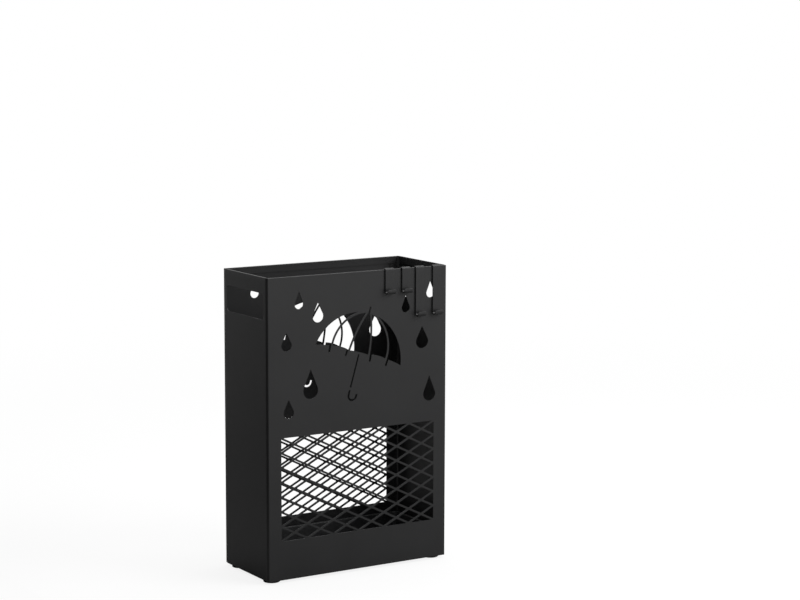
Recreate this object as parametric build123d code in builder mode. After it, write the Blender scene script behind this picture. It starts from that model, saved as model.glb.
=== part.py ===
from build123d import *
import os
from math import acos, cos, floor, sin, sqrt

# Sheet body, in millimetres at real size
WIDTH = 280.0  # across the outer faces of the side panels
DEPTH = 124.0  # across the outer faces of the front and back panels
BODY_HEIGHT = 408.0  # from the sheets' bottom edge to the rim
SHEET = 1.0  # thickness of the steel sheet
BEND_RADIUS = 4.5  # outer radius of the side panels' upright bends
FLANGE_WIDTH = 15.0  # side panel's outer face to the free edge of its flange
PANEL_SETBACK = 1.0  # front and back panels stop this short of the side faces
EDGE_ROUND = 0.3  # broken outer edges of the front and back panels
HEM_HEIGHT = 10.0  # the rim is folded inwards and pressed flat over this height
HEM_ROUND = 0.7  # roundness of the folded rim
HEM_GAP = 0.3  # between a folded rim's end and its neighbour

# Grip slot in each side panel
SLOT_HEIGHT = 35.0
SLOT_BELOW_RIM = 21.5
SLOT_MARGIN = 11.0  # slot end to the nearest front or back face
SLOT_CORNER = 4.0

# Diamond mesh punched in the lower part of the front and back panels
MESH_PITCH_X = 40.0
MESH_PITCH_Z = 20.0
MESH_STRAND = 2.7  # width of the strands left standing
MESH_CORNER = 0.8  # rounded corners of each diamond
MESH_MARGIN = 20.0  # least plain border at the panel's upright edges
MESH_ABOVE_EDGE = 53.0  # plain band below the mesh
PICTURE_HEIGHT = 215.0  # band under the rim that holds the drops and the figure

# Raindrops: centre in from the nearest side, tip below the rim, width, height
LEFT_RAINDROPS = (
    (47.5, 20.0, 13.0, 24.0),
    (76.5, 37.0, 16.5, 27.0),
    (28.5, 74.5, 15.5, 24.5),
    (65.0, 126.0, 22.5, 40.0),
    (31.5, 164.0, 15.5, 25.5),
)
RIGHT_RAINDROPS = (
    (66.0, 37.0, 13.0, 24.0),
    (26.5, 20.0, 12.5, 23.0),
    (39.5, 81.5, 19.5, 31.0),
    (27.5, 151.0, 19.5, 35.5),
)

# Umbrella figure, drawn upright about a point on its axis, level with the canopy's outer tips, then tilted
FIGURE_X = -1.0  # that point, from the panel's middle
FIGURE_BELOW_RIM = 114.0
FIGURE_TILT = 16.5  # degrees, top leaning right
CANOPY_HALF_WIDTH = 69.5
CANOPY_TOP = 59.0
CANOPY_TIP = 0.5  # height of the canopy's two outer tips
SCALLOP_FOOT = 4.2  # height at which the scallops meet, at the ribs
SCALLOP_CRESTS = (3.2, 6.3, 5.0)  # outer, second and middle scallop
RIB_WIDTH = 2.6  # sheet left standing between the gores
OUTER_RIB_FOOT = 44.2  # distance of the rib's foot from the figure's axis
INNER_RIB_FOOT = 16.1
OUTER_RIB_MIDDLE = (35.0, 38.5)
INNER_RIB_MIDDLE = (11.8, 31.0)
OUTER_RIB_TOP = 9.0  # distance of the rib's top from the figure's axis
INNER_RIB_TOP = 3.0
RIB_OVERRUN = 6.0  # drawn past the openings that it parts
RIB_TIP_WIDTH = 3.0  # slot along each rib's outer edge, below the scallops
RIB_TIP_LENGTH = 8.8
FERRULE_WIDTH = 2.6
FERRULE_LENGTH = 9.0  # above the canopy's top
SHAFT_WIDTH = 2.2
SHAFT_TOP = 2.0
SHAFT_LENGTH = 46.0
CROOK_WIDTH = 2.8
CROOK_BELOW = 48.0  # start of the crook below the figure's point
CROOK_STRAIGHT = 6.5
CROOK_RADIUS = 6.0
CROOK_END = 3.5

# Base pan and its rubber pads
BASE_FLANGE = 10.0  # height of the pan's upturned edge
BASE_GAP = 0.5  # pan to the side panels' flanges
FOOT_DIAMETER = 22.5
FOOT_HEIGHT = 4.0
FOOT_ROUND = 0.8
FOOT_INSET_X = 13.7  # pad centre to the outer side face
FOOT_INSET_Y = 17.3  # pad centre to the outer front or back face

# Hooks of bent steel strip
HOOK_WIDTH = 13.5
HOOK_THICKNESS = 1.4
HOOK_FRONT_GAP = 0.8  # play between a hook and the panel's front face
HOOK_BACK_GAP = 0.3  # play between a hook and the folded rim's inner face
HOOK_INNER_LEG = 14.0
HOOK_BEND = 0.6  # inner radius of the two bends over the rim
HOOK_THROAT_RADIUS = 2.6
HOOK_LIP = 2.4  # straight upturned end
HOOK_CORNER = 2.0  # rounded ends of the strip
HOOK_EDGE_ROUND = 0.4
SHORT_DROP = 33.5  # rim to the hook's lowest point
LONG_DROP = 67.0
HOOK_CENTRES = {
    "left_short_hook": (93.0, SHORT_DROP),  # in from the right side, and the drop
    "right_short_hook": (66.5, SHORT_DROP),
    "left_long_hook": (44.5, LONG_DROP),
    "right_long_hook": (17.0, LONG_DROP),
}

# Drip tray
TRAY_HEIGHT = 38.0
TRAY_WALL = 1.8
TRAY_LIP = 2.5  # how far the rolled edge stands out
TRAY_LIP_THICKNESS = 2.2
TRAY_LIP_ROUND = 0.8
TRAY_CORNER = 9.0
TRAY_BOTTOM_ROUND = 4.0
TRAY_END_CLEARANCE = 3.0  # lip to the side panels' folded rims
TRAY_CLEARANCE = 0.7  # lip to the hooks' inner legs
SEAT_GAP = 0.1  # under a loose piece that rests in place

# The origin is on the floor, under the middle of the whole stand with its hooks on
hook_outer_radius = HOOK_THROAT_RADIUS + HOOK_THICKNESS
hook_reach = HOOK_FRONT_GAP + 2 * hook_outer_radius
body_y = hook_reach / 2
front_y = body_y - DEPTH / 2
back_y = body_y + DEPTH / 2
half_width = WIDTH / 2
inner_layer = SHEET + SHEET / 2  # outer face to the middle of a second layer of sheet
rim_z = FOOT_HEIGHT + BODY_HEIGHT
front_plane = Plane(origin=(0, front_y, rim_z), x_dir=(1, 0, 0), z_dir=(0, -1, 0))
middle_plane = Plane.XZ.offset(-body_y)


def raindrop(width, height):
    """A round drop with its tip at the origin: a circle and its two tangents from the tip."""
    radius = width / 2
    centre_drop = height - radius
    half_angle = acos(radius / centre_drop)
    tangent_x = radius * sin(half_angle)
    tangent_y = radius * cos(half_angle) - centre_drop
    with BuildSketch() as drop:
        with BuildLine():
            Line((0, 0), (tangent_x, tangent_y))
            ThreePointArc((tangent_x, tangent_y), (0, -height), (-tangent_x, tangent_y))
            Line((-tangent_x, tangent_y), (0, 0))
        make_face()
    return drop.sketch


def canopy_height(across):
    """Height of the canopy's round outline at a distance across from the figure's axis."""
    rise = CANOPY_TOP - CANOPY_TIP
    radius = (CANOPY_HALF_WIDTH**2 + rise**2) / (2 * rise)
    return CANOPY_TOP - radius + sqrt(radius**2 - across**2)


def rib(foot, middle, top, side):
    """One rib, a strip along an arc from the scallops to the canopy's top edge, and the slot of its tip. The
    slot goes on below its foot along its outer edge, drawn from its middle line on; side is -1 or 1."""
    slot_width = RIB_WIDTH / 2 + RIB_TIP_WIDTH
    with BuildSketch() as strip:
        with BuildLine():
            arc = ThreePointArc(
                (side * foot, SCALLOP_FOOT),
                (side * middle[0], middle[1]),
                (side * top, canopy_height(top)),
            )
            upwards = arc % 0
            Line(arc @ 1, arc @ 1 + RIB_OVERRUN * (arc % 1))
            Line(arc @ 0, arc @ 0 - (RIB_TIP_LENGTH + RIB_OVERRUN) * upwards)
        trace(line_width=RIB_WIDTH)
    slot_foot = arc @ 0 + side * slot_width / 2 * upwards.cross(Vector(0, 0, 1))
    with BuildSketch() as slot:
        with BuildLine():
            Line(slot_foot + RIB_OVERRUN * upwards, slot_foot - RIB_TIP_LENGTH * upwards)
        trace(line_width=slot_width)
    return strip.sketch, slot.sketch


def umbrella_figure():
    """Openings of the umbrella figure, upright: gores with the ribs' tips, ferrule, shaft and crook."""
    outer_crest, second_crest, middle_crest = SCALLOP_CRESTS
    outer_x = (CANOPY_HALF_WIDTH + OUTER_RIB_FOOT) / 2
    second_x = (OUTER_RIB_FOOT + INNER_RIB_FOOT) / 2
    left_tip, right_tip = [(side * CANOPY_HALF_WIDTH, CANOPY_TIP) for side in (-1, 1)]
    left_outer, right_outer = [(side * OUTER_RIB_FOOT, SCALLOP_FOOT) for side in (-1, 1)]
    left_inner, right_inner = [(side * INNER_RIB_FOOT, SCALLOP_FOOT) for side in (-1, 1)]
    crook_y = -CROOK_BELOW - CROOK_STRAIGHT
    with BuildSketch() as figure:
        with BuildLine():
            ThreePointArc(left_tip, (0, CANOPY_TOP), right_tip)
            ThreePointArc(right_tip, (outer_x, outer_crest), right_outer)
            ThreePointArc(right_outer, (second_x, second_crest), right_inner)
            ThreePointArc(right_inner, (0, middle_crest), left_inner)
            ThreePointArc(left_inner, (-second_x, second_crest), left_outer)
            ThreePointArc(left_outer, (-outer_x, outer_crest), left_tip)
        make_face()
        for side in (-1, 1):
            outer_strip, outer_slot = rib(OUTER_RIB_FOOT, OUTER_RIB_MIDDLE, OUTER_RIB_TOP, side)
            inner_strip, inner_slot = rib(INNER_RIB_FOOT, INNER_RIB_MIDDLE, INNER_RIB_TOP, side)
            add([outer_slot, inner_slot])
            add([outer_strip, inner_strip], mode=Mode.SUBTRACT)
        with Locations((0, CANOPY_TOP)):
            Rectangle(FERRULE_WIDTH, 2 * FERRULE_LENGTH)
        with Locations((0, SHAFT_TOP - SHAFT_LENGTH / 2)):
            Rectangle(SHAFT_WIDTH, SHAFT_LENGTH)
        with BuildLine():
            Line((0, -CROOK_BELOW), (0, crook_y))
            ThreePointArc((0, crook_y), (CROOK_RADIUS, crook_y - CROOK_RADIUS), (2 * CROOK_RADIUS, crook_y))
            Line((2 * CROOK_RADIUS, crook_y), (2 * CROOK_RADIUS, crook_y + CROOK_END))
        trace(line_width=CROOK_WIDTH)
    return figure.sketch


def mesh_openings(columns, rows):
    """Openings of the mesh, about its middle: two interleaved grids of diamonds, cut off at the border."""
    half_x = MESH_PITCH_X / 2
    half_z = MESH_PITCH_Z / 2
    strand_offset = half_x * half_z / sqrt(half_x**2 + half_z**2)
    shrink = 1 - MESH_STRAND / 2 / strand_offset
    with BuildSketch() as diamond:
        with BuildLine():
            Polyline(
                (half_x * shrink, 0),
                (0, half_z * shrink),
                (-half_x * shrink, 0),
                (0, -half_z * shrink),
                close=True,
            )
        make_face()
        fillet(diamond.vertices(), MESH_CORNER)
    with BuildSketch() as openings:
        with GridLocations(MESH_PITCH_X, MESH_PITCH_Z, columns, rows + 1):
            add(diamond.sketch)
        with GridLocations(MESH_PITCH_X, MESH_PITCH_Z, columns + 1, rows):
            add(diamond.sketch)
        Rectangle(columns * MESH_PITCH_X, rows * MESH_PITCH_Z, mode=Mode.INTERSECT)
    return openings.sketch


# Front panel: a flat punched sheet, measured down from the middle of its rim
panel_width = WIDTH - 2 * PANEL_SETBACK
hem_width = WIDTH - 2 * (BEND_RADIUS + HEM_GAP)
mesh_columns = floor((WIDTH - 2 * MESH_MARGIN) / MESH_PITCH_X)
mesh_rows = floor((BODY_HEIGHT - PICTURE_HEIGHT - MESH_ABOVE_EDGE) / MESH_PITCH_Z)
mesh_middle = MESH_ABOVE_EDGE + mesh_rows * MESH_PITCH_Z / 2 - BODY_HEIGHT
with BuildPart() as front_panel:
    with BuildSketch(front_plane):
        with Locations((0, -BODY_HEIGHT / 2)):
            Rectangle(panel_width, BODY_HEIGHT)
    extrude(amount=-SHEET)
    front_edges = front_panel.faces().sort_by(Axis.Y)[0].outer_wire().edges()
    fillet(front_edges.filter_by(Axis.Z), EDGE_ROUND)
    with BuildSketch(front_plane.offset(-SHEET)):
        with Locations((0, -HEM_HEIGHT / 2)):
            Rectangle(hem_width, HEM_HEIGHT)
    extrude(amount=-SHEET)
    rim_edges = front_panel.edges().filter_by(Axis.X).group_by(Axis.Z)[-1].sort_by(Axis.Y)
    fillet([rim_edges[0], rim_edges[-1]], HEM_ROUND)
    with BuildSketch(front_plane):
        for inset, below, width, height in LEFT_RAINDROPS:
            with Locations((inset - half_width, -below)):
                add(raindrop(width, height))
        for inset, below, width, height in RIGHT_RAINDROPS:
            with Locations((half_width - inset, -below)):
                add(raindrop(width, height))
        with Locations(Location((FIGURE_X, -FIGURE_BELOW_RIM, 0), (0, 0, -FIGURE_TILT))):
            add(umbrella_figure())
        with Locations((0, mesh_middle)):
            add(mesh_openings(mesh_columns, mesh_rows))
    extrude(amount=-SHEET, mode=Mode.SUBTRACT)

# Back panel: its cut-outs lie in line with the front's
with BuildPart() as back_panel:
    mirror(front_panel.part, about=middle_plane)

# Left side panel: a channel whose flanges lie flat behind the front and back panels
flange_front_y = front_y + SHEET
flange_back_y = back_y - SHEET
flange_reach = FLANGE_WIDTH - BEND_RADIUS
flange_middle = BEND_RADIUS + flange_reach / 2 - half_width
straight_depth = DEPTH - 2 * (SHEET + BEND_RADIUS)
slot_length = DEPTH - 2 * SLOT_MARGIN
with BuildPart() as left_side_panel:
    with BuildSketch(Plane.XY.offset(FOOT_HEIGHT)):
        with BuildLine() as outline:
            FilletPolyline(
                (FLANGE_WIDTH - half_width, flange_front_y),
                (-half_width, flange_front_y),
                (-half_width, flange_back_y),
                (FLANGE_WIDTH - half_width, flange_back_y),
                radius=BEND_RADIUS,
            )
            offset(outline.line, amount=SHEET, side=Side.RIGHT)
        make_face()
    extrude(amount=BODY_HEIGHT)
    with BuildSketch(Plane.XY.offset(rim_z - HEM_HEIGHT - HEM_GAP)):
        with Locations(
            (flange_middle, flange_front_y + SHEET / 2),
            (flange_middle, flange_back_y - SHEET / 2),
        ):
            Rectangle(flange_reach, SHEET)
    extrude(amount=HEM_HEIGHT + HEM_GAP, mode=Mode.SUBTRACT)
    with BuildSketch(Plane.XY.offset(rim_z - HEM_HEIGHT)):
        with Locations((inner_layer - half_width, body_y)):
            Rectangle(SHEET, straight_depth)
    extrude(amount=HEM_HEIGHT)
    with BuildSketch(Plane.YZ.offset(-half_width)):
        with Locations((body_y, rim_z - SLOT_BELOW_RIM - SLOT_HEIGHT / 2)):
            RectangleRounded(slot_length, SLOT_HEIGHT, SLOT_CORNER)
    extrude(amount=SHEET, mode=Mode.SUBTRACT)
    side_rim_edges = left_side_panel.edges().filter_by(Axis.Y).group_by(Axis.Z)[-1].sort_by(Axis.X)
    fillet([side_rim_edges[0], side_rim_edges[-1]], HEM_ROUND)

with BuildPart() as right_side_panel:
    mirror(left_side_panel.part, about=Plane.YZ)

# Base plate: a shallow pan whose upturned edges are welded to the four sheets
pan_width = WIDTH - 2 * SHEET
pan_depth = DEPTH - 2 * SHEET
long_flange = WIDTH - 2 * (FLANGE_WIDTH + BASE_GAP)
short_flange = straight_depth - 2 * BASE_GAP
with BuildPart() as base_plate:
    with BuildSketch(Plane.XY.offset(FOOT_HEIGHT)):
        with Locations((0, body_y)):
            RectangleRounded(pan_width, pan_depth - 2 * (SHEET + BASE_GAP), BEND_RADIUS)
            Rectangle(long_flange, pan_depth)
    extrude(amount=SHEET)
    with BuildSketch(Plane.XY.offset(FOOT_HEIGHT)):
        with Locations((0, front_y + inner_layer), (0, back_y - inner_layer)):
            Rectangle(long_flange, SHEET)
        with Locations((inner_layer - half_width, body_y), (half_width - inner_layer, body_y)):
            Rectangle(SHEET, short_flange)
    extrude(amount=BASE_FLANGE)

# Drip tray: stands on the base plate and clears the hooks' inner legs on its way out
tray_z = FOOT_HEIGHT + SHEET + SEAT_GAP
tray_length = WIDTH - 2 * (2 * SHEET + TRAY_END_CLEARANCE)
tray_depth = DEPTH - 2 * (2 * SHEET + HOOK_BACK_GAP + HOOK_THICKNESS + TRAY_CLEARANCE)
tray_rim_z = tray_z + TRAY_HEIGHT
with BuildPart() as drip_tray:
    with BuildSketch(Plane.XY.offset(tray_z)):
        with Locations((0, body_y)):
            RectangleRounded(tray_length - 2 * TRAY_LIP, tray_depth - 2 * TRAY_LIP, TRAY_CORNER)
    extrude(amount=TRAY_HEIGHT)
    fillet(drip_tray.edges().group_by(Axis.Z)[0], TRAY_BOTTOM_ROUND)
    with BuildSketch(Plane.XY.offset(tray_rim_z - TRAY_LIP_THICKNESS)):
        with Locations((0, body_y)):
            RectangleRounded(tray_length, tray_depth, TRAY_CORNER + TRAY_LIP)
    extrude(amount=TRAY_LIP_THICKNESS)
    fillet(drip_tray.edges().group_by(Axis.Z)[-1], TRAY_LIP_ROUND)
    with BuildSketch(Plane.XY.offset(tray_z + TRAY_WALL)):
        with Locations((0, body_y)):
            RectangleRounded(
                tray_length - 2 * (TRAY_LIP + TRAY_WALL),
                tray_depth - 2 * (TRAY_LIP + TRAY_WALL),
                TRAY_CORNER - TRAY_WALL,
            )
    extrude(amount=TRAY_HEIGHT, mode=Mode.SUBTRACT)
    inside_floor = drip_tray.faces().filter_by(Axis.Z).sort_by(SortBy.AREA)[-2:].sort_by(Axis.Z)[-1]
    fillet(inside_floor.edges(), TRAY_BOTTOM_ROUND - TRAY_WALL)


def foot(x, y):
    """Round rubber pad between the floor and the base plate."""
    with BuildPart() as pad:
        with BuildSketch(Plane.XY):
            with Locations((x, y)):
                Circle(FOOT_DIAMETER / 2)
        extrude(amount=FOOT_HEIGHT)
        fillet(pad.edges().group_by(Axis.Z)[0], FOOT_ROUND)
    return pad.part


def hook(x, drop):
    """Strip bent over the rim, down the front and up again into a small lip."""
    inner_y = front_y + 2 * SHEET + HOOK_BACK_GAP
    outer_y = front_y - HOOK_FRONT_GAP
    top_z = rim_z + SEAT_GAP
    throat_z = rim_z - drop + hook_outer_radius
    lip_y = outer_y - 2 * hook_outer_radius
    with BuildPart() as strip:
        with BuildSketch(Plane.YZ.offset(x - HOOK_WIDTH / 2)):
            with BuildLine() as outline:
                FilletPolyline(
                    (inner_y, top_z - HOOK_INNER_LEG),
                    (inner_y, top_z),
                    (outer_y, top_z),
                    (outer_y, throat_z),
                    radius=HOOK_BEND,
                )
                ThreePointArc(
                    (outer_y, throat_z),
                    (outer_y - hook_outer_radius, throat_z - hook_outer_radius),
                    (lip_y, throat_z),
                )
                Line((lip_y, throat_z), (lip_y, throat_z + HOOK_LIP))
                offset(outline.line, amount=HOOK_THICKNESS, side=Side.RIGHT)
            make_face()
        extrude(amount=HOOK_WIDTH)
        level_faces = strip.faces().filter_by(Axis.Z).sort_by(Axis.Y)
        end_edges = level_faces[0].edges() + level_faces[-1].edges()
        fillet(end_edges.filter_by(Axis.Y), HOOK_CORNER)
        fillet(strip.faces().filter_by(Axis.X).edges(), HOOK_EDGE_ROUND)
    return strip.part


pieces = {
    "front_panel": front_panel.part,
    "back_panel": back_panel.part,
    "left_side_panel": left_side_panel.part,
    "right_side_panel": right_side_panel.part,
    "base_plate": base_plate.part,
    "drip_tray": drip_tray.part,
}
foot_x = half_width - FOOT_INSET_X
for row, foot_y in (("front", front_y + FOOT_INSET_Y), ("back", back_y - FOOT_INSET_Y)):
    pieces[f"{row}_left_foot"] = foot(-foot_x, foot_y)
    pieces[f"{row}_right_foot"] = foot(foot_x, foot_y)
for name, (inset, drop) in HOOK_CENTRES.items():
    pieces[name] = hook(half_width - inset, drop)

os.makedirs("parts", exist_ok=True)
for name, piece in pieces.items():
    piece.label = name
    export_step(piece, f"parts/{name}.step")
    print(name, round(piece.volume), "mm3", len(piece.solids()), "solid")
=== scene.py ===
# %% [markdown]
# # A sheet-steel umbrella stand
#
# The stand is a narrow, open-topped box of matt black sheet steel. Its front and back are punched with
# raindrops, an umbrella figure and a diamond mesh, a tray stands in the bottom, and four flat hooks hang
# over the front rim. The sheets, the base and the feet are already exact in the frame, so this lesson
# keeps them and gives them their finish. The hooks and the tray have many small bends, which look best as
# smooth surfaces, so those are worked out here as formulas.

# %% Load the frame
import bpy
import numpy as np
from mathutils import Matrix, Vector


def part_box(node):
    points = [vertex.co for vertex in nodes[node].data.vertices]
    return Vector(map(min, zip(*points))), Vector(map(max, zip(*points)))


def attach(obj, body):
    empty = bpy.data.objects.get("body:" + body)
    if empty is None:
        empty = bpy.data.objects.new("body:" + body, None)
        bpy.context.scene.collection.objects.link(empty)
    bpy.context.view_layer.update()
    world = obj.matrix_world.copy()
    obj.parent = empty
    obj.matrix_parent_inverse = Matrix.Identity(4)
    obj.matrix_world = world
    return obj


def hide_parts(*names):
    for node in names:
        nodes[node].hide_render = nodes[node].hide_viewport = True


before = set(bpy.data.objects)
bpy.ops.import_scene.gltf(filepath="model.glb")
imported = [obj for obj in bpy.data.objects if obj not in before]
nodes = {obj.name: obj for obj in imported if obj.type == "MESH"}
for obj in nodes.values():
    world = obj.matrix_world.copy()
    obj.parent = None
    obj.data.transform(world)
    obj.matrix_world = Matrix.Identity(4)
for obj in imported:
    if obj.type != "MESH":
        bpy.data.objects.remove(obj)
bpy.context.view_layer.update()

scene = bpy.context.scene
print("nodes:", sorted(nodes))

# %% [markdown]
# ## Sizes
#
# All lengths are in metres, and Z is up from the floor. The boxes of the loaded nodes give most sizes, so
# they aren't typed twice: the rim is the top of the front panel, and the front face is its lowest Y.

# %% Read the sizes that the new pieces need
MM = 0.001
panel_low, panel_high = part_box("front_panel")
front_y = panel_low.y
rim_z = panel_high.z
tray_low, tray_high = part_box("drip_tray")
print(f"rim {rim_z / MM:.1f} mm up, front face at y {front_y / MM:.2f} mm")
print(f"tray from {tray_low.z / MM:.1f} to {tray_high.z / MM:.1f} mm up")

# %% [markdown]
# ## Shader arithmetic
#
# A finish is easier to read as a sum than as a web of boxes. The class below wraps one socket of a node
# tree. Adding, subtracting or multiplying such sockets adds the Math nodes, and `make` adds any other node:
# its settings first, then its sockets. Wiring the nodes by hand would do the same, but hide the formula.


# %% Wrap a socket so that finishes can be written as sums
class Tone:
    """One output socket of a node tree, usable in arithmetic."""

    def __init__(self, tree, socket=None):
        self.tree = tree
        self.socket = socket

    def make(self, kind, inputs, output=0, **settings):
        """Adds a node of that kind and returns one of its outputs as a Tone."""
        node = self.tree.nodes.new("ShaderNode" + kind)
        for key, value in settings.items():
            setattr(node, key, value)
        for key, value in inputs.items():
            if isinstance(value, Tone):
                self.tree.links.new(value.socket, node.inputs[key])
            else:
                node.inputs[key].default_value = value
        return Tone(self.tree, node.outputs[output])

    def math(self, operation, first, second):
        """One Math node on two values or sockets."""
        return self.make("Math", {0: first, 1: second}, operation=operation)

    def __add__(self, other):
        return self.math("ADD", self, other)

    def __radd__(self, other):
        return self.math("ADD", other, self)

    def __sub__(self, other):
        return self.math("SUBTRACT", self, other)

    def __rsub__(self, other):
        return self.math("SUBTRACT", other, self)

    def __mul__(self, other):
        return self.math("MULTIPLY", self, other)

    def __rmul__(self, other):
        return self.math("MULTIPLY", other, self)

    def noise(self, size, detail=2.0, roughness=0.55):
        """Cloudy noise whose blobs are about size metres across, from 0 to 1."""
        sockets = {"Vector": self, "Scale": 1 / size, "Detail": detail, "Roughness": roughness}
        return self.make("TexNoise", sockets, "Fac")

    def step(self, low, high):
        """0 below low, 1 above high, with a smooth rise between them."""
        sockets = {"Value": self, "From Min": low, "From Max": high}
        return self.make("MapRange", sockets, "Result", interpolation_type="SMOOTHSTEP")

    def colour(self, dark, light):
        """Blends two colours by this value."""
        sockets = {0: self, 6: (*dark, 1.0), 7: (*light, 1.0)}
        return self.make("Mix", sockets, 2, data_type="RGBA")


scratch = bpy.data.node_groups.new("scratch", "ShaderNodeTree")
scaled = 1 - Tone(scratch).make("Value", {}) * 0.5
print("one value, a product and a difference make", len(scaled.tree.nodes), "nodes")
bpy.data.node_groups.remove(scratch)


# %% Start a material with its shader and its coordinates
def start_material(name):
    """Returns the material, its main shader, and the place on the piece as a Tone."""
    material = bpy.data.materials.new(name)
    material.use_nodes = True
    tree = material.node_tree
    shader = tree.nodes["Principled BSDF"]
    return material, shader, Tone(tree).make("TexCoord", {}, "Object")


def feed(shader, socket, tone):
    """Links a Tone to one socket of the shader."""
    tone.tree.links.new(tone.socket, shader.inputs[socket])


def raise_skin(shader, relief, depth, strength):
    """Bumps the surface by a relief from 0 to 1 that stands up to depth metres high."""
    sockets = {"Strength": strength, "Distance": depth, "Height": relief}
    feed(shader, "Normal", relief.make("Bump", sockets, "Normal"))


print(len(bpy.data.materials), "materials came with the frame")

# %% [markdown]
# ## Powder coat
#
# The steel is sprayed with dry black powder and baked. The melted grains leave a fine, sandy, matt skin
# with a faint waviness a few millimetres long, and the batch is never perfectly even, so large soft
# clouds change its depth a little. Plain paint would be flatter and glossier, and a single colour would
# look like plastic. Each scale is one noise: grains and clouds move the colour and the roughness, and
# grains and waves the bump. Hands burnish the coat on the rim, so it is a little smoother there.


# %% Mix the powder coat of the sheets
COAT_DARK = (0.0062, 0.0062, 0.0066)
COAT_LIGHT = (0.0098, 0.0098, 0.0103)
COAT_GLOSS = 0.38
COAT_RELIEF = 0.09 * MM
COAT_GRAIN = 0.35 * MM
COAT_WAVE = 3.2 * MM
COAT_CLOUD = 70 * MM
HANDLED_BAND = 7 * MM
HANDLED_EDGE = 1 * MM


def coat_noises(place):
    """The two noises of the coat's skin: sand-fine grains and shallow waves."""
    return place.noise(COAT_GRAIN, 2.0, 0.6), place.noise(COAT_WAVE, 1.0, 0.4)


def sheet_coat(name):
    """Matt black powder coat in soft clouds, smoother on the handled rim."""
    material, shader, place = start_material(name)
    grains, waves = coat_noises(place)
    clouds = place.noise(COAT_CLOUD, 3.0, 0.5)
    height = place.make("SeparateXYZ", {0: place}, "Z")
    handled = height.step(rim_z - HANDLED_BAND, rim_z - HANDLED_EDGE)
    tone = (clouds * 0.6 + grains * 0.4).step(0.25, 0.75)
    feed(shader, "Base Color", tone.colour(COAT_DARK, COAT_LIGHT))
    feed(shader, "Roughness", 0.38 + clouds * 0.08 + grains * 0.1 - handled * 0.05)
    raise_skin(shader, grains * 0.35 + waves * 0.65, COAT_RELIEF, 0.55)
    shader.inputs["Specular IOR Level"].default_value = COAT_GLOSS
    return material


def refinish(node, material):
    """Gives a loaded node one new material."""
    nodes[node].data.materials.clear()
    nodes[node].data.materials.append(material)
    print(material.name, "on", node)


coat = sheet_coat("sheet_powder_coat")
for node in ("front_panel", "back_panel", "left_side_panel", "right_side_panel", "base_plate"):
    refinish(node, coat)

# %% [markdown]
# ## Rubber feet
#
# Four round pads lift the stand off the floor. Moulded rubber is duller and a little warmer than the coat,
# with a fine speckle, and floor dust greys its lowest edge. The loaded pads have the right shape already,
# so they could be left plain, but one dark colour would merge with the coat above them.


# %% Mix the rubber
RUBBER_BLACK = (0.012, 0.0118, 0.0115)
DUST_GREY = (0.07, 0.067, 0.062)
RUBBER_SPECKLE = 0.5 * MM
RUBBER_RELIEF = 0.05 * MM
DUST_HEIGHT = 1.6 * MM


def foot_rubber(name):
    """Dull black rubber, speckled, with dust that fades out over its lowest part."""
    material, shader, place = start_material(name)
    speckle = place.noise(RUBBER_SPECKLE, 3.0, 0.65)
    height = place.make("SeparateXYZ", {0: place}, "Z")
    dust = (1 - height.step(0.0, DUST_HEIGHT)) * speckle.step(0.3, 0.7)
    grey = dust * 0.6 + speckle * 0.2
    feed(shader, "Base Color", grey.colour(RUBBER_BLACK, DUST_GREY))
    feed(shader, "Roughness", 0.72 + speckle * 0.16)
    raise_skin(shader, speckle, RUBBER_RELIEF, 0.6)
    shader.inputs["Specular IOR Level"].default_value = 0.3
    return material


rubber = foot_rubber("foot_rubber")
for node in ("front_left_foot", "front_right_foot", "back_left_foot", "back_right_foot"):
    refinish(node, rubber)

# %% [markdown]
# ## Surfaces from rings
#
# Both new shapes are a rounded rectangle carried along a path: the hook is its strip's cross-section
# carried round the bends, and the tray is its outline carried up one wall and down the other. A box with a
# Bevel modifier would give corners too, but not bends and a narrowing end in one piece. So one helper works
# out the rings of points, and a second one joins them with faces.


# %% Work out rings of a rounded rectangle
def rounded_rectangle(half_x, half_y, radius, arc_points, flat):
    """Rings of a rounded rectangle, one for each row of the half sizes and the corner radius.

    Each corner is an arc about a point one radius in from both sides. One more point beyond each end of
    the arc, at most flat away, keeps the straight sides flat under smooth shading.
    """
    stops = np.concatenate([[0], np.linspace(0, 90, arc_points), [90]])
    angle = np.radians(np.add.outer(np.arange(0, 360, 90), stops).ravel())
    right = np.repeat([1, -1, -1, 1], len(stops))
    upper = np.repeat([1, 1, -1, -1], len(stops))
    beyond = np.tile([1] + [0] * arc_points + [1], 4)
    level = np.abs(np.sin(angle)) > 0.5
    reach_x = (half_x - radius)[:, None]
    reach_y = (half_y - radius)[:, None]
    x = right * (reach_x - np.minimum(flat, reach_x / 2) * beyond * level)
    y = upper * (reach_y - np.minimum(flat, reach_y / 2) * beyond * ~level)
    return x + radius[:, None] * np.cos(angle), y + radius[:, None] * np.sin(angle)


one = np.ones(1)
x, y = rounded_rectangle(3 * one, 2 * one, one, 5, 0.5)
print("a test ring has", x.size, "points and measures", np.ptp(x), "by", np.ptp(y))


# %% Turn a stack of rings into a closed mesh
def ring_faces(stations, points):
    """Quads between each ring and the next, point by point, and one face on each end."""
    index = np.arange(stations * points).reshape(stations, points)
    nearer, further = index[:-1], index[1:]
    quads = np.stack([nearer, np.roll(nearer, -1, 1), np.roll(further, -1, 1), further], -1)
    return quads.reshape(-1, 4).tolist() + [index[0, ::-1].tolist(), index[-1].tolist()]


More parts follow.
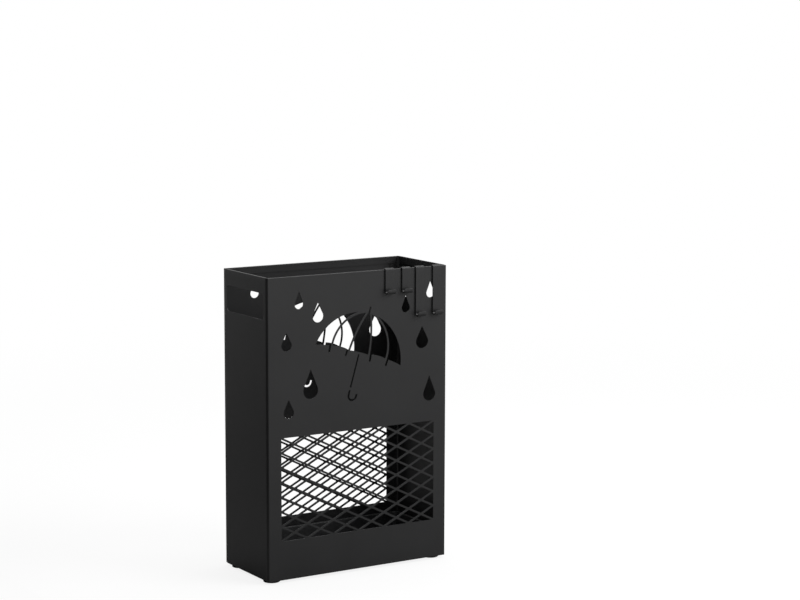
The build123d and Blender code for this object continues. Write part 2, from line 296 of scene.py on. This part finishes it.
def skin_rings(name, rings, along):
    """A closed piece over the rings, an array (stations, points, 3).

    along is one length for each station, kept in the UV map with the share of the way round.
    """
    stations, points, _ = rings.shape
    mesh = bpy.data.meshes.new(name)
    mesh.from_pydata(rings.reshape(-1, 3).tolist(), [], ring_faces(stations, points))
    mesh.validate()
    corner = np.zeros(len(mesh.loops), np.int32)
    mesh.loops.foreach_get("vertex_index", corner)
    uv = np.stack([along[corner // points], (corner % points) / points], -1)
    mesh.uv_layers.new(name="along").data.foreach_set("uv", uv.astype(np.float32).ravel())
    smooth = np.ones(len(mesh.polygons), bool)
    smooth[-2:] = False
    mesh.polygons.foreach_set("use_smooth", smooth)
    piece = bpy.data.objects.new(name, mesh)
    scene.collection.objects.link(piece)
    print(name, len(mesh.polygons), "faces")
    return piece


print("3 rings of 4 points make", len(ring_faces(3, 4)), "faces")

# %% [markdown]
# ## Hooks
#
# Each hook is one strip of steel bent three times: over the rim with two tight bends, then up again at its
# foot into a small lip. A real one is stamped flat and folded in a press, so its width is constant and its
# bends are round. A bevelled curve could follow that path too, but its ends would be cut off square. Here
# the path is straight runs and arcs in the YZ plane, and near both ends the section narrows by the rule of
# a rounded corner, so the strip's ends come out rounded.


# %% Lay out the path of a hook
STRIP_THICKNESS = 1.4 * MM
STRIP_EDGE = 0.4 * MM
STRIP_EDGE_FLAT = 0.1 * MM
STRIP_FLAT = 0.3 * MM
STRIP_CORNER = 2.0 * MM
RIM_SPAN = 4.5 * MM
INNER_LEG = 14.0 * MM
LIP_RISE = 2.4 * MM
OVER_BEND = 1.3 * MM
THROAT_BEND = 3.3 * MM
END_STATIONS = 24
OVER_STATIONS = 12
THROAT_STATIONS = 28


def run(start, end, count):
    """Points on a straight line, from start to just before end."""
    share = np.linspace(0, 1, count, endpoint=False)[:, None]
    return np.array(start) * (1 - share) + np.array(end) * share


def bend(centre, radius, first, last, count):
    """Points on a circle about centre, between two angles in degrees, the last one left out."""
    angle = np.radians(np.linspace(first, last, count, endpoint=False))
    return np.array(centre) + radius * np.stack([np.cos(angle), np.sin(angle)], -1)


def end_spacing(length, count):
    """Shares of a straight run that crowd towards its start, so that a rounded end has enough stations."""
    return np.linspace(0, 1, count, endpoint=False) ** 2 * length


def hook_path(low, high):
    """Centre line of a hook in Y and Z, from its inner leg, over the rim and down to its lip."""
    half = STRIP_THICKNESS / 2
    inner = high.y - half
    outer = inner - RIM_SPAN
    lip = low.y + half
    top = high.z - half
    throat = low.z + half + THROAT_BEND
    leg = top - half - INNER_LEG
    lip_top = throat + LIP_RISE
    leg_heights = leg + end_spacing(top - OVER_BEND - leg, END_STATIONS)
    lip_heights = lip_top - end_spacing(lip_top - throat, END_STATIONS)
    up = np.stack([np.full(END_STATIONS, inner), leg_heights], -1)
    back_bend = bend((inner - OVER_BEND, top - OVER_BEND), OVER_BEND, 0, 90, OVER_STATIONS)
    across = run((inner - OVER_BEND, top), (outer + OVER_BEND, top), 3)
    front_bend = bend((outer + OVER_BEND, top - OVER_BEND), OVER_BEND, 90, 180, OVER_STATIONS)
    down = run((outer, top - OVER_BEND), (outer, throat), 8)
    cup = bend((outer - THROAT_BEND, throat), THROAT_BEND, 0, -180, THROAT_STATIONS)
    rise = np.stack([np.full(END_STATIONS, lip), lip_heights], -1)[::-1]
    return np.concatenate([up, back_bend, across, front_bend, down, cup, rise])


low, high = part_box("left_long_hook")
path = hook_path(low, high)
print("hook path of", len(path), "points from", path[0] / MM, "to", path[-1] / MM)


# %% Carry the strip's section along the path
def rounded(distance, radius):
    """How far an outline is drawn in at a distance from its end, for a corner of that radius."""
    inside = np.clip(radius - distance, 0, radius)
    return radius - np.sqrt(radius**2 - inside**2)


def strip_hook(node):
    """The hook that stands for a CAD node: each ring of the strip's section lies across the path's tangent,
    its first half size along X and its second one along the path's normal."""
    low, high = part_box(node)
    line = hook_path(low, high)
    tangent = np.gradient(line, axis=0)
    tangent /= np.linalg.norm(tangent, axis=1, keepdims=True)
    normal = np.stack([tangent[:, 1], -tangent[:, 0]], -1)
    step = np.linalg.norm(np.diff(line, axis=0), axis=1)
    travelled = np.concatenate([[0], np.cumsum(step)])
    to_end = np.minimum(travelled, travelled[-1] - travelled)
    half_width = (high.x - low.x) / 2 - rounded(to_end, STRIP_CORNER)
    half_thick = STRIP_THICKNESS / 2 - rounded(to_end, STRIP_EDGE)
    edge = np.minimum(STRIP_EDGE, half_thick - STRIP_EDGE_FLAT)
    across, out = rounded_rectangle(half_width, half_thick, edge, 5, STRIP_FLAT)
    middle = (low.x + high.x) / 2
    flat = line[:, None, :] + out[:, :, None] * normal[:, None, :]
    rings = np.concatenate([middle + across[:, :, None], flat], -1)
    return skin_rings(node + "_strip", rings, travelled[-1] - travelled)


hook_nodes = ("left_short_hook", "right_short_hook", "left_long_hook", "right_long_hook")
hooks = {node: strip_hook(node) for node in hook_nodes}

# %% [markdown]
# The hooks wear the same powder coat, but whatever hangs on them rubs it in the throat. A band at a height
# would need one number for long hooks and another for short ones. The UV map holds the length from the
# lip's end, so a band of that length marks the throat on all four.


# %% Finish and hang the hooks
RUB_FADE_IN = (3 * MM, 7 * MM)
RUB_FADE_OUT = (14 * MM, 19 * MM)


def hook_coat(name):
    """Powder coat with a burnished throat, marked by the length from the lip's end."""
    material, shader, place = start_material(name)
    grains, waves = coat_noises(place)
    strip = place.make("UVMap", {}, "UV", uv_map="along")
    length = place.make("SeparateXYZ", {0: strip}, "X")
    rubbed = length.step(*RUB_FADE_IN) * (1 - length.step(*RUB_FADE_OUT))
    tone = (grains * 0.7 + waves * 0.3).step(0.25, 0.75)
    feed(shader, "Base Color", tone.colour(COAT_DARK, COAT_LIGHT))
    feed(shader, "Roughness", 0.4 + grains * 0.14 - rubbed * 0.08)
    raise_skin(shader, (grains * 0.4 + waves * 0.6) * (1 - rubbed * 0.5), COAT_RELIEF, 0.55)
    shader.inputs["Specular IOR Level"].default_value = COAT_GLOSS
    return material


strip_coat = hook_coat("hook_powder_coat")
for node, hook in hooks.items():
    hook.data.materials.append(strip_coat)
    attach(hook, node)
    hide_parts(node)
    print(hook.name, "hangs on the rim")

# %% [markdown]
# ## Drip tray
#
# The tray is one moulded shell. Going from the middle of its underside outwards, up the wall, over the
# rolled lip and back down the inside, every level is the same rounded rectangle, drawn in by a different
# amount. So the whole shell is a profile of two numbers, the inset and the height, and each level's corner
# radius is the outer one less its inset, as parallel curves are. A box with Solidify would have a wall as
# well, but no lip, and no draft, the slight slope that lets a moulding out of its mould.


# %% Work out the tray's profile
TRAY_WALL = 1.8 * MM
TRAY_LIP = 2.5 * MM
TRAY_LIP_THICKNESS = 2.2 * MM
TRAY_LIP_FILLET = 1.0 * MM
TRAY_CORNER = 11.5 * MM
TRAY_LEAST_CORNER = 1.5 * MM
TRAY_FOOT_ROUND = 4.0 * MM
TRAY_DRAFT = 0.6 * MM
TRAY_FLAT = 2.0 * MM
TRAY_FLOOR_REACH = 40 * MM


def tray_profile(bottom, top):
    """Inset and height from the underside to the inside floor, as runs and rounded corners."""
    foot = TRAY_LIP + TRAY_DRAFT
    foot_round = foot + TRAY_FOOT_ROUND
    lip = TRAY_LIP_THICKNESS / 2
    fillet = TRAY_LIP_FILLET
    under_lip = top - 2 * lip - fillet
    inner = TRAY_LIP + TRAY_WALL
    inner_foot = TRAY_FOOT_ROUND - TRAY_WALL
    floor = bottom + TRAY_WALL
    floor_round = inner + TRAY_DRAFT + inner_foot
    middle = foot + TRAY_FLOOR_REACH
    stretches = [
        run((middle, bottom), (foot_round, bottom), 3),
        bend((foot_round, bottom + TRAY_FOOT_ROUND), TRAY_FOOT_ROUND, 270, 180, 8),
        run((foot, bottom + TRAY_FOOT_ROUND), (TRAY_LIP, under_lip), 6),
        bend((TRAY_LIP - fillet, under_lip), fillet, 0, 90, 6),
        bend((lip, top - lip), lip, 270, 90, 14),
        bend((inner - fillet, top - fillet), fillet, 90, 0, 6),
        run((inner, top - fillet), (inner + TRAY_DRAFT, floor + inner_foot), 6),
        bend((floor_round, floor + inner_foot), inner_foot, 180, 270, 8),
        run((floor_round, floor), (middle, floor), 4),
    ]
    return np.concatenate(stretches)


profile = tray_profile(tray_low.z, tray_high.z)
print("tray profile of", len(profile), "levels")


# %% Build the tray's shell
def moulded_tray():
    """The shell: for each inset and height of the profile, one ring of the rounded rectangle."""
    inset, height = profile[:, 0], profile[:, 1]
    centre = (tray_low + tray_high) / 2
    half = (tray_high - tray_low) / 2
    radius = np.maximum(TRAY_CORNER - inset, TRAY_LEAST_CORNER)
    x, y = rounded_rectangle(half.x - inset, half.y - inset, radius, 9, TRAY_FLAT)
    rings = np.stack([x + centre.x, y + centre.y, np.broadcast_to(height[:, None], x.shape)], -1)
    step = np.linalg.norm(np.diff(profile, axis=0), axis=1)
    return skin_rings("drip_tray_shell", rings, np.concatenate([[0], np.cumsum(step)]))


tray = moulded_tray()

# %% [markdown]
# The tray is plastic, not coated steel: its mould was eroded to a fine grain, and water that has dried on
# its floor leaves faint pale clouds. A second powder coat would make tray and stand look like one piece.


# %% Give the tray a moulded finish
TRAY_BLACK = (0.0115, 0.0118, 0.0125)
TRAY_PALE = (0.027, 0.0275, 0.0285)
TRAY_GRAIN = 0.8 * MM
TRAY_CLOUD = 45 * MM
TRAY_RELIEF = 0.05 * MM
DRIED_FADE = (2 * MM, 14 * MM)


def tray_plastic(name):
    """Black moulded plastic: fine grain, and faint dried water low down."""
    material, shader, place = start_material(name)
    grain = place.noise(TRAY_GRAIN, 3.0, 0.6)
    drift = place.noise(TRAY_CLOUD, 3.0, 0.5)
    height = place.make("SeparateXYZ", {0: place}, "Z")
    low_down = 1 - height.step(*(tray_low.z + limit for limit in DRIED_FADE))
    dried = low_down * drift.step(0.45, 0.7)
    tone = grain * 0.35 + drift * 0.25 + dried * 0.4
    feed(shader, "Base Color", tone.colour(TRAY_BLACK, TRAY_PALE))
    feed(shader, "Roughness", 0.4 + grain * 0.16 + dried * 0.12)
    raise_skin(shader, grain, TRAY_RELIEF, 0.5)
    shader.inputs["Specular IOR Level"].default_value = 0.4
    return material


tray.data.materials.append(tray_plastic("tray_plastic"))
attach(tray, "drip_tray")
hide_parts("drip_tray")
print(tray.name, "stands on the base plate")

# %% [markdown]
# ## Floor and world
#
# The stand is shown on a seamless white ground. The floor is a plain pale sheet that takes real light, so
# the stand's soft shadow stays on it. What the eye, a mirror or a glass sees of the ground and of the world
# is lifted to white, and further out the floor turns into that same white, so no edge shows.


# %% Lay the floor
FLOOR_RADIUS = 9.0
FLOOR_FADE = (0.5, 2.2)
FLOOR_GREY = (0.32, 0.32, 0.32)
FLOOR_PALE = (0.9, 0.9, 0.9)
FLOOR_LIFT = 0.85


def rays(tree):
    """Two masks: 1 for rays from the eye, and 1 for mirrored or refracted rays."""
    start = Tone(tree)
    eye = start.make("LightPath", {}, "Is Camera Ray")
    mirror = start.make("LightPath", {}, "Is Glossy Ray")
    glass = start.make("LightPath", {}, "Is Transmission Ray")
    return eye, start.make("Clamp", {0: mirror + glass})


def stage_mesh(name, points, faces):
    """A piece of the studio, which isn't part of the stand."""
    mesh = bpy.data.meshes.new(name)
    mesh.from_pydata(points, [], faces)
    piece = bpy.data.objects.new(name, mesh)
    scene.collection.objects.link(piece)
    return piece


angle = np.radians(np.arange(0, 360, 5))
edge = FLOOR_RADIUS * np.stack([np.cos(angle), np.sin(angle), 0 * angle], -1)
floor = stage_mesh("floor", edge.tolist(), [list(range(len(edge)))])
material, shader, place = start_material("floor_paper")
eye, mirror = rays(material.node_tree)
feed(shader, "Base Color", eye.colour(FLOOR_GREY, FLOOR_PALE))
shader.inputs["Roughness"].default_value = 0.9
shader.inputs["Specular IOR Level"].default_value = 0.0
away = place.make("VectorMath", {0: place}, "Value", operation="LENGTH")
far = away.step(*FLOOR_FADE)
lift = eye * (FLOOR_LIFT + far * (1 - FLOOR_LIFT)) + mirror * far
glow = place.make("Emission", {"Color": (1, 1, 1, 1), "Strength": 1.0})
blend = place.make("MixShader", {0: lift, 1: Tone(place.tree, shader.outputs[0]), 2: glow})
place.tree.links.new(blend.socket, place.tree.nodes["Material Output"].inputs["Surface"])
floor.data.materials.append(material)
print("floor of", FLOOR_RADIUS, "m radius")

# %% Set the world
WORLD_LEVEL = 0.62
world = bpy.data.worlds.new("studio")
scene.world = world
world.use_nodes = True
background = world.node_tree.nodes["Background"]
background.inputs["Color"].default_value = (1, 1, 1, 1)
eye, mirror = rays(world.node_tree)
strength = WORLD_LEVEL + (eye + mirror) * (1 - WORLD_LEVEL)
world.node_tree.links.new(strength.socket, background.inputs["Strength"])
print("world", len(world.node_tree.nodes), "nodes")

# %% [markdown]
# ## Glowing card
#
# Satin black shows little colour of its own: what the eye sees is mostly the room that it mirrors. The left
# end of the stand is darker than its front because a dark card stands on that side, out of the picture. A
# darker paint on that end would be wrong from every other side. The card is a wall of two flat panels that
# only mirrored and scattered rays meet. It is no lamp, yet it glows dimly, and its glow is painted light:
# lighter towards the top and the back, where a real card would catch more light.

# %% Stand a dimly glowing card on the left
CARD_PLAN = np.array([(-0.42, 1.25), (-0.42, -0.3), (-1.05, -1.0)])
CARD_HEIGHT = 1.1
CARD_FOOT_GLOW = 0.05
CARD_PAINTED_GLOW_RISE = 0.36  # added for each metre of height
CARD_PAINTED_BACK_GLOW = 0.22  # added at the back
CARD_PAINTED_BACK_FADE = (0.25, 0.85)
foot = np.column_stack([CARD_PLAN, np.zeros(3)])
head = np.column_stack([CARD_PLAN, np.full(3, CARD_HEIGHT)])
card = stage_mesh("card", np.vstack([foot, head]).tolist(), [(0, 1, 4, 3), (1, 2, 5, 4)])
material, shader, place = start_material("card_painted_glow")
height = place.make("SeparateXYZ", {0: place}, "Z")
along = place.make("SeparateXYZ", {0: place}, "Y")
back = along.step(*CARD_PAINTED_BACK_FADE)
# Painted light: the card glows though it is no lamp, more with height and towards the back, as a lit grey
# card would look.
feed(shader, "Emission Color", CARD_FOOT_GLOW + height * CARD_PAINTED_GLOW_RISE + back * CARD_PAINTED_BACK_GLOW)
shader.inputs["Emission Strength"].default_value = 1.0
shader.inputs["Base Color"].default_value = (0, 0, 0, 1)
shader.inputs["Specular IOR Level"].default_value = 0.0
card.data.materials.append(material)
card.visible_camera = False
card.visible_shadow = False
print("card of", len(card.data.polygons), "panels")

# %% [markdown]
# ## Lamps
#
# A large soft lamp stands to the right, in front and above, so the front is lighter than the left end and
# the rim catches a fine light line. A weaker one hangs overhead. Both are big, because a small lamp would
# put a hard spot on the satin coat.


# %% Hang the lamps
def softbox(name, place, target, width, height, power):
    """A rectangular lamp at place that faces target."""
    lamp = bpy.data.lights.new(name, "AREA")
    lamp.shape = "RECTANGLE"
    lamp.size = width
    lamp.size_y = height
    lamp.energy = power
    holder = bpy.data.objects.new(name, lamp)
    holder.location = place
    holder.rotation_euler = (Vector(target) - Vector(place)).to_track_quat("-Z", "Y").to_euler()
    scene.collection.objects.link(holder)
    print(name, power, "W")


LAMP_TARGET = (0, 0, 0.3)
softbox("key", (1.3, -1.5, 1.6), LAMP_TARGET, width=1.2, height=1.2, power=34)
softbox("overhead", (0.2, 0.2, 2.0), LAMP_TARGET, width=1.4, height=1.0, power=20)

# %% [markdown]
# ## Camera
#
# The picture is taken from the front left, well above the rim, with a long lens. The three angles, the
# place and the lens were solved from the corners of the box, so the stand fills the same part of the
# picture, and from what shows of the back through the front's openings, which depends on the place alone.

# %% Place the camera
YAW, PITCH, ROLL = np.radians([32.096, -8.034, 0.161])
CAMERA_PLACE = (-1.472, front_y - 2.450, 0.777)
FOCAL_LENGTH = 96.9
SENSOR_WIDTH = 36.0
forward = np.array([np.sin(YAW) * np.cos(PITCH), np.cos(YAW) * np.cos(PITCH), np.sin(PITCH)])
level = np.array([np.cos(YAW), -np.sin(YAW), 0])
upright = np.cross(level, forward)
right = level * np.cos(ROLL) + upright * np.sin(ROLL)
up = upright * np.cos(ROLL) - level * np.sin(ROLL)
lens = bpy.data.cameras.new("camera")
lens.sensor_fit = "HORIZONTAL"
lens.sensor_width = SENSOR_WIDTH
lens.lens = FOCAL_LENGTH
camera = bpy.data.objects.new("camera", lens)
pose = np.eye(4)
pose[:3, 0], pose[:3, 1], pose[:3, 2] = right, up, -forward
pose[:3, 3] = CAMERA_PLACE
camera.matrix_world = Matrix(pose.tolist())
scene.collection.objects.link(camera)
scene.camera = camera
print("camera at", CAMERA_PLACE)

# %% [markdown]
# ## Finish
#
# Colours are shown as they are written, so the view is the standard one. The new pieces must stay inside
# the box of the loaded model.

# %% Set the view and finish
scene.view_settings.view_transform = "Standard"
